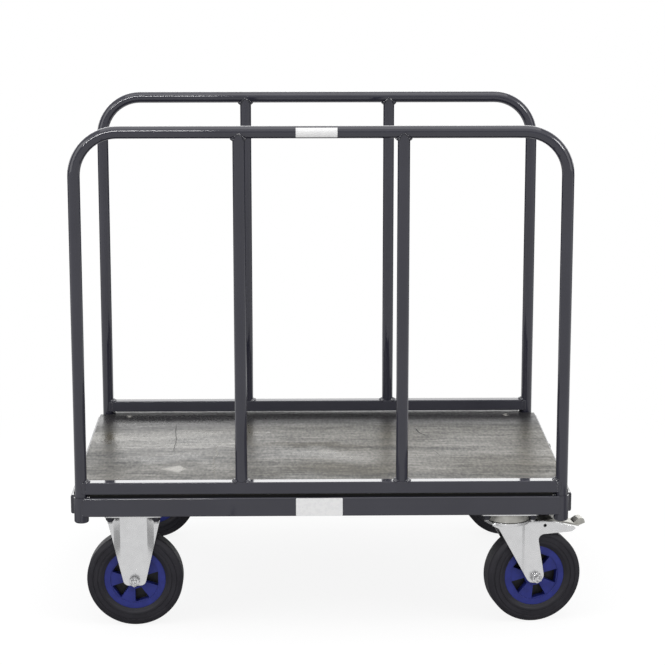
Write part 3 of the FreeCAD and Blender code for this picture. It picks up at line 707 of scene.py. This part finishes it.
@dataclass
class Finishes:
    """Every finish apart from the tyres' and the wheel centres', which are set out from their own axles."""

    paint: Material = field(default_factory=PowderCoat().material)
    # Flatter paint for the lower rails; its lighter tone is painted light that makes up for the reflection the lower
    # specular level loses.
    flat_rail_paint_painted_light: Material = field(default_factory=PowderCoat(
        "lower_rail_flat_paint_painted_light", tone=display(69, 69, 77), shade=display(65, 65, 73), level=0.25).material)
    # The weld paint's pale specks are painted glints on the bead.
    weld_paint: Material = field(default_factory=PowderCoat(
        "weld_paint", gloss=(0.07, 0.13), painted_glint_scale=210.0, painted_glint_span=(0.62, 0.66), peel_scale=420.0,
        peel_depth=0.00012).material)
    board: Material = field(default_factory=FilmBoard().material)
    zinc: Material = field(default_factory=PlatedSteel(
        "zinc_steel", tone=display(206, 206, 207), shade=display(199, 199, 200), gloss=(0.24, 0.29), relief=0.000005,
        edge=0.0009).material)
    bolt: Material = field(default_factory=PlatedSteel(
        "bolt_zinc", tone=display(222, 222, 223), shade=display(104, 104, 106), gloss=(0.05, 0.11),
        cloud_scale=330.0).material)
    # A darker, duller copy of the zinc: partly a duller plating, partly painted shade for parts that sit in shadow
    # under the rails.
    dull_shaded_zinc: Material = field(default_factory=PlatedSteel(
        "pedal_zinc", tone=display(172, 171, 166), shade=display(152, 151, 146), gloss=(0.42, 0.55)).material)
    screw: Material = field(default_factory=PlatedSteel(
        "screw_zinc", tone=display(116, 115, 112), shade=display(92, 91, 89), gloss=(0.25, 0.4)).material)
    # Dark steel; on the castor nuts it is painted shade and reflection of the dark underside.
    dark_steel_and_shade: Material = field(default_factory=PlatedSteel(
        "dark_steel", tone=display(58, 58, 63), shade=display(46, 46, 51), gloss=(0.3, 0.45)).material)
    bearing: Material = field(default_factory=PlatedSteel(
        "bearing_steel", tone=display(196, 196, 198), shade=display(176, 176, 179), gloss=(0.2, 0.32)).material)
    plate: Material = field(default_factory=BlankEnamel().material)


def dress(node: str, material: Material) -> None:
    """Gives a carried-over node its finish.

    Args:
        node: Name of the node.
        material: Its finish.
    """
    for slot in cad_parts[node].material_slots:
        slot.material = material
    log.info("dressed %s in %s", node, material.name)


@dataclass(frozen=True)
class WeldBead:
    """Rippled weld bead along a set of paths, as overlapping pools of metal."""

    pitch: float = 0.0017
    radius: float = 0.0019
    flat: float = 0.62
    spread: float = 0.22
    seed: int = 7
    rounds: int = 2

    def tree(self) -> bpy.types.NodeTree:
        """Builds the node tree that lays pools along the path edges.

        Returns:
            The tree, with the bead's sizes, seed and finish as inputs.
        """
        tree = bpy.data.node_groups.new("weld_bead", "GeometryNodeTree")
        tree.interface.new_socket("Paths", in_out="INPUT", socket_type="NodeSocketGeometry")
        for name in ("Pitch", "Radius", "Flat", "Spread"):
            tree.interface.new_socket(name, in_out="INPUT", socket_type="NodeSocketFloat")
        tree.interface.new_socket("Seed", in_out="INPUT", socket_type="NodeSocketInt")
        tree.interface.new_socket("Finish", in_out="INPUT", socket_type="NodeSocketMaterial")
        tree.interface.new_socket("Bead", in_out="OUTPUT", socket_type="NodeSocketGeometry")
        graph = Graph(tree)
        given = graph.add("NodeGroupInput").outputs
        curve = graph.add("GeometryNodeMeshToCurve", {0: given["Paths"]}).outputs[0]
        steps = graph.add("GeometryNodeResampleCurve", {"Curve": curve, "Length": given["Pitch"]}, mode="LENGTH")
        ball = {"Radius": given["Radius"], "Subdivisions": self.rounds}
        pool = graph.add("GeometryNodeMeshIcoSphere", ball).outputs[0]
        tangent = graph.add("GeometryNodeInputTangent").outputs[0]
        turn = graph.add("FunctionNodeAlignRotationToVector", {"Vector": tangent}, axis="X").outputs[0]
        low = graph.sum("SUBTRACT", 1.0, given["Spread"])
        high = graph.sum("ADD", 1.0, given["Spread"])
        size = graph.add("FunctionNodeRandomValue", {2: low, 3: high, "Seed": given["Seed"]}).outputs[1]
        scale = graph.add("ShaderNodeCombineXYZ", {0: given["Flat"], 1: size, 2: size}).outputs[0]
        pools = graph.add("GeometryNodeInstanceOnPoints",
                          {"Points": steps.outputs[0], "Instance": pool, "Rotation": turn, "Scale": scale})
        solid = graph.add("GeometryNodeRealizeInstances", {0: pools.outputs[0]}).outputs[0]
        smooth = graph.add("GeometryNodeSetShadeSmooth", {0: solid}).outputs[0]
        finished = graph.add("GeometryNodeSetMaterial", {"Geometry": smooth, "Material": given["Finish"]}).outputs[0]
        graph.add("NodeGroupOutput", {0: finished})
        return tree

    def lay(self, name: str, paths: list[Path], finish: Material) -> bpy.types.Object:
        """Lays the bead and makes it a plain mesh.

        Args:
            name: Name of the new piece.
            paths: Lines of points that the bead follows.
            finish: Its finish.

        Returns:
            The finished piece, not yet riding on a body.
        """
        points = [tuple(point) for path in paths for point in path]
        edges, start = [], 0
        for path in paths:
            edges += [(start + i, start + i + 1) for i in range(len(path) - 1)]
            start += len(path)
        lines = bpy.data.meshes.new(name + "_paths")
        lines.from_pydata(points, edges, [])
        piece = bpy.data.objects.new(name, lines)
        bpy.context.scene.collection.objects.link(piece)
        modifier = piece.modifiers.new("bead", "NODES")
        modifier.node_group = self.tree()
        given = {"Pitch": self.pitch, "Radius": self.radius, "Flat": self.flat, "Spread": self.spread,
                 "Seed": self.seed, "Finish": finish}
        for item in modifier.node_group.interface.items_tree:
            if item.name in given:
                modifier[item.identifier] = given[item.name]
        return flatten(piece)


def flatten(piece: bpy.types.Object) -> bpy.types.Object:
    """Turns what a piece's modifiers make into its plain mesh, and removes them.

    Args:
        piece: The piece.

    Returns:
        The same piece.
    """
    graph = bpy.context.evaluated_depsgraph_get()
    mesh = bpy.data.meshes.new_from_object(piece.evaluated_get(graph), depsgraph=graph)
    piece.modifiers.clear()
    piece.data = mesh
    return piece


def settle(piece: bpy.types.Object, body: str) -> None:
    """Makes a new piece ride on a body.

    Args:
        piece: The piece, in its place.
        body: Body that carries it.
    """
    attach(piece, body)
    log.info("built %s on %s, %d faces", piece.name, body, len(piece.data.polygons))


@dataclass
class Chassis:
    """Welded rails and corner sockets, with the bare plate on the front rail."""

    finishes: Finishes
    leg_x: float = 0.495
    leg_y: float = 0.350
    rail_low: float = 0.247
    rail_high: float = 0.281
    side_weld: tuple[float, float] = (0.0040, 0.0139)
    end_weld: tuple[float, float] = (0.0100, 0.0132)
    seam: WeldBead = WeldBead(pitch=0.0010, radius=0.0011, spread=0.08)
    bead: WeldBead = WeldBead()
    rails: tuple[str, ...] = ("front_rail", "rear_rail", "left_end_rail", "right_end_rail", "castor_cross_rails",
                              "centre_cross_rail", "front_left_socket", "front_right_socket", "rear_left_socket",
                              "rear_right_socket")

    def weld_paths(self, along: float, across: float) -> list[Path]:
        """Upright welds at the four sockets.

        Args:
            along: Place along X from the socket's axis, outwards.
            across: Place along Y from the socket's axis, outwards.

        Returns:
            One line for each socket.
        """
        paths = []
        for side in Side:
            for end in End:
                foot = Vector((end.value * (self.leg_x + along), side.value * (self.leg_y + across), self.rail_low))
                paths.append([foot, foot + Vector((0.0, 0.0, self.rail_high - self.rail_low))])
        return paths

    def build(self) -> None:
        """Makes the welds of the long rails and of the end rails."""
        seams = self.weld_paths(-self.side_weld[0], self.side_weld[1])
        settle(self.seam.lay("rail_seams", seams, self.finishes.paint), "chassis")
        welds = self.weld_paths(self.end_weld[0], -self.end_weld[1])
        settle(self.bead.lay("chassis_welds", welds, self.finishes.weld_paint), "chassis")

    def dress(self) -> None:
        """Paints the rails and sockets and finishes the plate."""
        for node in self.rails:
            dress(node, self.finishes.paint)
        dress("chassis_plate", self.finishes.plate)


@dataclass
class Deck:
    """Film-faced board and its dome-head screws."""

    finishes: Finishes

    def dress(self) -> None:
        """Finishes the board and its screws."""
        dress("deck", self.finishes.board)
        dress("deck_screws", self.finishes.screw)


@dataclass
class TubeSide:
    """Lift-out side: bent tube, lower rail and two posts, with their welds.

    A row of a weld says how far out from the tube it lies, and how far above the lower rail or below the top one.
    """

    side: Side
    finishes: Finishes
    leg_x: float = 0.495
    leg_y: float = 0.350
    post_x: float = 0.165
    tube_radius: float = 0.0125
    top_rail: float = 1.0355
    foot_rows: tuple[tuple[float, float], ...] = ((0.0009, 0.0012), (0.0040, 0.0))
    head_lift: float = 0.0003
    head_rows: tuple[tuple[float, float], ...] = ((0.0008, 0.0030), (0.0030, 0.0008))
    corner_out: float = 0.0022
    deck_foot: float = 0.2872
    foot_sweep: float = 44.0
    saddle_sweep: float = 82.0
    cheek_weld: tuple[float, float] = (0.0095, 0.0117)
    steps: int = 18
    foot_bead: WeldBead = WeldBead(pitch=0.0024, radius=0.0027, flat=0.8, spread=0.3, seed=11)
    head_bead: WeldBead = WeldBead(radius=0.0017, seed=5)
    rail_bottom: float = field(init=False)
    rail_top: float = field(init=False)

    def __post_init__(self) -> None:
        """Reads the lower rail's height, which differs between the sides."""
        low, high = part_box(self.side.label + "_lower_rail")
        self.rail_bottom, self.rail_top = low[2], high[2]

    @property
    def body(self) -> str:
        """Body that the side rides on."""
        return self.side.label + "_hoop"

    @property
    def y(self) -> float:
        """Place of the side across the truck."""
        return self.side.value * self.leg_y

    def beside(self, x: float, out: float, angle: float, z: float) -> Vector:
        """Point beside an upright tube, by its angle and its distance out from the wall."""
        reach = self.tube_radius + out
        return Vector((x + reach * math.cos(angle), self.y + reach * math.sin(angle), z))

    def arc(self, sweep: float, facing: int) -> list[float]:
        """Angles of a weld arc in radians, centred on one way along X."""
        middle = 0.0 if facing > 0 else 180.0
        return [math.radians(middle + sweep * (2 * i / self.steps - 1)) for i in range(self.steps + 1)]

    def foot_welds(self, x: float, facing: int) -> list[Path]:
        """Welds round a tube's foot on the lower rail, on one side of it.

        Args:
            x: Place of the tube's axis.
            facing: Way along X that the weld is on.

        Returns:
            One line for each row of the weld.
        """
        angles = self.arc(self.foot_sweep, facing)
        return [[self.beside(x, out, angle, self.rail_top + lift) for angle in angles] for out, lift in self.foot_rows]

    def corner_weld(self, end: End) -> Path:
        """Weld that runs down one leg under the end of the lower rail."""
        x = end.value * (self.leg_x - self.tube_radius - self.corner_out)
        return [Vector((x, self.y, z)) for z in (self.deck_foot, self.rail_bottom)]

    def head_welds(self, x: float) -> list[Path]:
        """Welds of one post's head to the top rail: a saddle, and a fillet on each side of it.

        Args:
            x: Place of the post's axis.

        Returns:
            Two lines for the saddle and for each row of the fillets.
        """
        under = self.tube_radius + self.head_lift
        rows = [(self.head_lift, 0.0, self.saddle_sweep)] + [(*row, self.foot_sweep) for row in self.head_rows]
        paths = []
        for out, drop, sweep in rows:
            for facing in WAYS:
                paths.append([self.beside(x, out, angle, self.top_rail - drop - under * abs(math.cos(angle)))
                              for angle in self.arc(sweep, facing)])
        return paths

    def cheek_welds(self, end: End) -> list[Path]:
        """Upright welds where the lower rail's two faces meet one leg.

        Args:
            end: End of the truck that the leg is at.

        Returns:
            One line for each face.
        """
        along, across = self.cheek_weld
        x = end.value * (self.leg_x - along)
        heights = (self.rail_bottom + self.head_bead.radius, self.rail_top)
        return [[Vector((x, self.y + way * across, z)) for z in heights] for way in WAYS]

    def build(self) -> None:
        """Makes the welds."""
        feet, heads = [], []
        for end in End:
            for facing in WAYS:
                feet += self.foot_welds(end.value * self.post_x, facing)
            feet += self.foot_welds(end.value * self.leg_x, -end.value) + [self.corner_weld(end)]
            heads += self.head_welds(end.value * self.post_x) + self.cheek_welds(end)
        welds = self.foot_bead.lay(self.side.label + "_hoop_foot_welds", feet, self.finishes.weld_paint)
        settle(welds, self.body)
        welds = self.head_bead.lay(self.side.label + "_hoop_welds", heads, self.finishes.weld_paint)
        settle(welds, self.body)

    def dress(self) -> None:
        """Paints the tubes and the lower rail, and finishes the label."""
        for part in ("hoop_tube", "posts"):
            dress(self.side.label + "_" + part, self.finishes.paint)
        # The lower rail's lighter, flatter paint carries painted light in place of lost reflection.
        dress(self.side.label + "_lower_rail", self.finishes.flat_rail_paint_painted_light)
        if self.side is Side.FRONT:
            dress("hoop_label", self.finishes.plate)


@dataclass
class Wheel:
    """Rubber-tyred wheel of one castor."""

    name: str
    turn: float
    finishes: Finishes

    def dress(self) -> None:
        """Finishes the tyre, the centre and the bearing."""
        low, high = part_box(self.name + "_tyre")
        centre = tuple((low + high) / 2)
        dress(self.name + "_tyre", TyreRubber(self.name + "_tyre_rubber", centre, self.turn).material())
        dress(self.name + "_wheel_centre", HubPlastic(self.name + "_wheel_plastic", centre, self.turn).material())
        dress(self.name + "_roller_bearing", self.finishes.bearing)


@dataclass
class FixedCastor:
    """Fixed castor at the left end."""

    side: Side
    finishes: Finishes

    def dress(self) -> None:
        """Finishes the fork and the wheel."""
        name = self.side.label + "_left"
        dress(name + "_fork", self.finishes.zinc)
        Wheel(name, 0.0, self.finishes).dress()


@dataclass
class SwivelCastor:
    """Braked swivel castor at the right end."""

    side: Side
    finishes: Finishes
    turn: float = 10.0
    plated: tuple[str, ...] = ("fork", "top_plate")
    bolts: tuple[str, ...] = ("axle_bolt", "axle_nut", "axle_sleeve")

    def dress(self) -> None:
        """Finishes the fork, the brake and the wheel."""
        name = self.side.label + "_right"
        for part in self.plated:
            dress(name + "_" + part, self.finishes.zinc)
        for part in self.bolts:
            dress(name + "_" + part, self.finishes.bolt)
        # The brake lever takes the darker zinc, as painted shade.
        dress(name + "_brake_lever", self.finishes.dull_shaded_zinc)
        dress(name + "_brake_pin", self.finishes.dark_steel_and_shade)
        dress(name + "_brake_spring", self.finishes.bearing)
        Wheel(name, self.turn, self.finishes).dress()


@dataclass
class CastorFittings:
    """Fasteners and race parts that the castors share."""

    finishes: Finishes
    bolts: tuple[str, ...] = ("castor_bolts", "fixed_axle_bolts", "fixed_axle_nuts", "fixed_axle_sleeves", "kingpins")
    races: tuple[str, ...] = ("upper_race_cups", "lower_race_cups")

    def dress(self) -> None:
        """Finishes the fasteners, the races and the balls."""
        for node in self.bolts:
            dress(node, self.finishes.bolt)
        # The race cups take the darker zinc, as painted shade under the rails.
        for node in self.races:
            dress(node, self.finishes.dull_shaded_zinc)
        # The castor nuts take the dark steel as painted shade and reflection of the dark underside.
        dress("castor_nuts", self.finishes.dark_steel_and_shade)
        dress("race_balls", self.finishes.bearing)


@dataclass(frozen=True)
class Softbox:
    """Soft lamp that faces a point and isn't seen itself; a glint lamp only shows in gloss, and roll turns it."""

    name: str
    place: Point
    target: Point
    size: tuple[float, float]
    radiance: float
    roll: float = 0.0
    glint: bool = False

    def build(self) -> None:
        """Hangs the lamp."""
        lamp = bpy.data.lights.new(self.name, "AREA")
        lamp.shape = "RECTANGLE"
        lamp.size, lamp.size_y = self.size
        lamp.energy = self.radiance * math.pi * self.size[0] * self.size[1]
        hung = bpy.data.objects.new(self.name, lamp)
        hung.location = self.place
        facing = Vector(self.target) - Vector(self.place)
        hung.rotation_mode = "QUATERNION"
        turn = Quaternion((0.0, 0.0, 1.0), math.radians(self.roll))
        hung.rotation_quaternion = facing.to_track_quat("-Z", "Y") @ turn
        hung.visible_camera = False
        hung.visible_diffuse = not self.glint
        bpy.context.scene.collection.objects.link(hung)


@dataclass
class Studio:
    """White product studio: camera, floor, surroundings and lamps.

    A span says where a change in the floor or the surroundings starts and ends. A glow is a strength of light.
    """

    camera_place: Point = (-0.0588, -4.7422, 1.5433)
    pitch: float = 11.777
    yaw: float = 1.058
    lens: float = 119.65
    sensor: float = 36.0
    reach: float = 100.0
    floor_half: float = 30.0
    floor_tone: Colour = (0.9, 0.9, 0.9, 1.0)
    white: float = 1.07
    shadow_share: float = 0.18
    shadow_span: Span = (0.7, 1.7)
    open_front: Span = (-0.36, -0.46)
    open_back: Span = (0.40, 0.55)
    far_back: Span = (1.7, 2.3)
    far_share: float = 0.05
    open_aside: Span = (1.2, 1.6)
    gloss_glow: Span = (0.3, 1.0)
    under_half: tuple[float, float] = (0.75, 0.55)
    under_span: Span = (0.0, 0.6)
    bounce_glow: Span = (0.6, 0.1)
    ambient: float = 0.55
    front_span: Span = (-0.55, -0.25)
    front_glow: float = 0.6
    side_glow: float = 0.35
    back_span: Span = (0.25, 0.6)
    back_glow: float = 1.9
    sky_span: Span = (0.2, 0.55)
    sky_front: Span = (0.25, -0.15)
    sky_glow: float = 0.85
    flags: tuple[float, ...] = (-0.60, -0.20, 1.0)
    flag_run: Span = (-1.05, -0.42)
    flag_heights: Span = (0.075, 0.175)
    flag_glow: float = 0.40
    lamps: tuple[Softbox, ...] = (
        Softbox("left_softbox", (-3.2, -1.9, 2.0), (0.0, 0.0, 0.6), (2.4, 2.6), 2.0),
        Softbox("right_softbox", (3.2, -1.9, 2.0), (0.0, 0.0, 0.6), (2.4, 2.6), 1.6),
        Softbox("left_strip", (-1.4, -3.5, 2.65), (-0.3, -0.3, 0.9), (2.4, 0.22), 45.0, roll=36.0, glint=True),
        Softbox("right_strip", (2.5, -2.1, 2.27), (0.4, -0.3, 0.9), (0.35, 0.9), 30.0, glint=True),
        Softbox("top_softbox", (0.0, -0.3, 3.4), (0.0, 0.0, 0.3), (3.2, 2.2), 1.5),
        Softbox("back_panel", (0.0, 3.2, 1.47), (0.0, 0.0, 0.3), (4.6, 0.72), 2.1),
    )

    def ray_share(self, graph: Graph, rays: tuple[Rays, ...]) -> Socket:
        """Finds rays of some kinds.

        Args:
            graph: Tree that it goes into.
            rays: The kinds.

        Returns:
            1 for a ray of one of the kinds and 0 for another.
        """
        outputs = graph.add("ShaderNodeLightPath").outputs
        found = outputs[rays[0].value]
        for ray in rays[1:]:
            found = graph.sum("MAXIMUM", found, outputs[ray.value])
        return found

    def by_rays(self, graph: Graph, soft: Socket, gloss: Socket, shown: Socket) -> Socket:
        """Surface that lights matt surfaces, mirrors in gloss and looks to the eye in a way of its own.

        Args:
            graph: Tree that it goes into.
            soft: What lights matt surfaces.
            gloss: What gloss mirrors.
            shown: What the eye sees, also through glass.

        Returns:
            The surface.
        """
        lit = graph.join(self.ray_share(graph, (Rays.GLOSSY,)), soft, gloss)
        return graph.join(self.ray_share(graph, (Rays.CAMERA, Rays.TRANSMISSION)), lit, shown)

    def camera(self) -> None:
        """Sets up the photograph's camera."""
        pitch, yaw = math.radians(self.pitch), math.radians(self.yaw)
        right = Vector((math.cos(yaw), -math.sin(yaw), 0.0))
        ahead = Vector((math.sin(yaw) * math.cos(pitch), math.cos(yaw) * math.cos(pitch), -math.sin(pitch)))
        up = right.cross(ahead)
        lens = bpy.data.cameras.new("photo_camera")
        lens.lens = self.lens
        lens.sensor_width = self.sensor
        lens.clip_end = self.reach
        camera = bpy.data.objects.new("photo_camera", lens)
        turn = Matrix((right, up, -ahead)).transposed().to_4x4()
        camera.matrix_world = Matrix.Translation(Vector(self.camera_place)) @ turn
        bpy.context.scene.collection.objects.link(camera)
        bpy.context.scene.camera = camera

    def floor_material(self) -> Material:
        """White floor that keeps the truck's shadow, with painted shadow besides: gloss sees it darkened under the
        truck and far behind it, and its light onto matt surfaces is dimmed under the truck.

        Returns:
            The material.
        """
        coat = Coat("studio_floor")
        graph = coat.graph
        place = graph.place()
        x, y, _ = graph.parts(place)
        near = graph.ramp(graph.length(x, y), (self.shadow_span[1], self.shadow_span[0]), soft=True)
        share = graph.sum("MULTIPLY", near, self.shadow_share)
        matt = graph.add("ShaderNodeBsdfDiffuse", {"Color": self.floor_tone}).outputs[0]
        white = graph.light(graph.ramp(share, (0.0, self.shadow_share), (1.0, self.white)))
        # Painted shadow for gloss: the floor seen in gloss is dark near and far behind the truck.
        clear = graph.ramp(graph.sum("ABSOLUTE", x), self.open_aside, soft=True)
        for edge in (self.open_front, self.open_back):
            clear = graph.sum("MAXIMUM", clear, graph.ramp(y, edge, soft=True))
        gloss = graph.sum("MULTIPLY", graph.ramp(clear, (0.0, 1.0), self.gloss_glow),
                          graph.ramp(y, self.far_back, (1.0, self.far_share), soft=True))
        # Painted shadow for matt surfaces: the floor's light onto them is dimmed under the truck.
        bounce = graph.ramp(graph.spot(place, (0.0, 0.0), self.under_half), self.under_span, self.bounce_glow)
        shown = graph.join(share, white, matt)
        return coat.glow(self.by_rays(graph, graph.light(bounce), graph.light(gloss), shown))

    def sheet(self, name: str, corners: list[Point], material: Material) -> bpy.types.Object:
        """Makes a flat four-cornered piece of the studio.

        Args:
            name: Its name.
            corners: Its corners in turn.
            material: What it is made of.

        Returns:
            The piece.
        """
        mesh = bpy.data.meshes.new(name)
        mesh.from_pydata(corners, [], [(0, 1, 2, 3)])
        mesh.materials.append(material)
        piece = bpy.data.objects.new(name, mesh)
        bpy.context.scene.collection.objects.link(piece)
        return piece

    def floor(self) -> None:
        """Lays the floor."""
        half = self.floor_half
        corners = [(-half, -half, 0.0), (half, -half, 0.0), (half, half, 0.0), (-half, half, 0.0)]
        floor = self.sheet("studio_floor", corners, self.floor_material())

    def flag_cards(self) -> None:
        """Stands grey cards that only gloss sees beside the front castors, so that their folds show."""
        coat = Coat("flag_card")
        grey = coat.glow(coat.graph.light(self.flag_glow))
        start, end = self.flag_run
        low, high = self.flag_heights
        for number, x in enumerate(self.flags):
            corners = [(x, start, 0.0), (x, end, 0.0), (x, end, high), (x, start, low)]
            card = self.sheet(f"flag_card_{number}", corners, grey)
            card.visible_camera = card.visible_diffuse = card.visible_shadow = card.visible_transmission = False

    def backdrop(self, graph: Graph, strength: Fed) -> Socket:
        """White background of a strength."""
        sockets = {"Color": (1.0, 1.0, 1.0, 1.0), "Strength": strength}
        return graph.add("ShaderNodeBackground", sockets).outputs[0]

    def surroundings(self) -> None:
        """White surroundings for the eye, even light for matt surfaces, and dark sides and a bright sky for gloss."""
        world = bpy.data.worlds.new("studio")
        world.use_nodes = True
        world.node_tree.nodes.clear()
        graph = Graph(world.node_tree)
        _, y, z = graph.parts(graph.add("ShaderNodeTexCoord").outputs["Generated"])
        front = graph.ramp(y, self.front_span, (self.front_glow, self.side_glow), soft=True)
        back = graph.ramp(y, self.back_span, (0.0, self.back_glow - self.side_glow), soft=True)
        high = graph.ramp(z, self.sky_span, (0.0, self.sky_glow), soft=True)
        sky = graph.sum("MULTIPLY", high, graph.ramp(y, self.sky_front))
        soft = self.backdrop(graph, self.ambient)
        gloss = self.backdrop(graph, graph.sum("ADD", graph.sum("ADD", front, back), sky))
        white = self.backdrop(graph, 1.0)
        graph.add("ShaderNodeOutputWorld", {"Surface": self.by_rays(graph, soft, gloss, white)})
        bpy.context.scene.world = world

    def build(self) -> None:
        """Sets up the whole studio."""
        bpy.context.scene.view_settings.view_transform = "Standard"
        self.camera()
        self.floor()
        self.flag_cards()
        self.surroundings()
        for lamp in self.lamps:
            lamp.build()


def main() -> None:
    """Builds and dresses the truck, piece by piece, and sets it in the studio."""
    logging.basicConfig(level=logging.INFO, format="%(message)s")
    finishes = Finishes()
    chassis = Chassis(finishes)
    chassis.build()
    chassis.dress()
    Deck(finishes).dress()
    for side in Side:
        hoop = TubeSide(side, finishes)
        hoop.build()
        hoop.dress()
        FixedCastor(side, finishes).dress()
        SwivelCastor(side, finishes).dress()
    CastorFittings(finishes).dress()
    Studio().build()


if __name__ == "__main__":
    main()
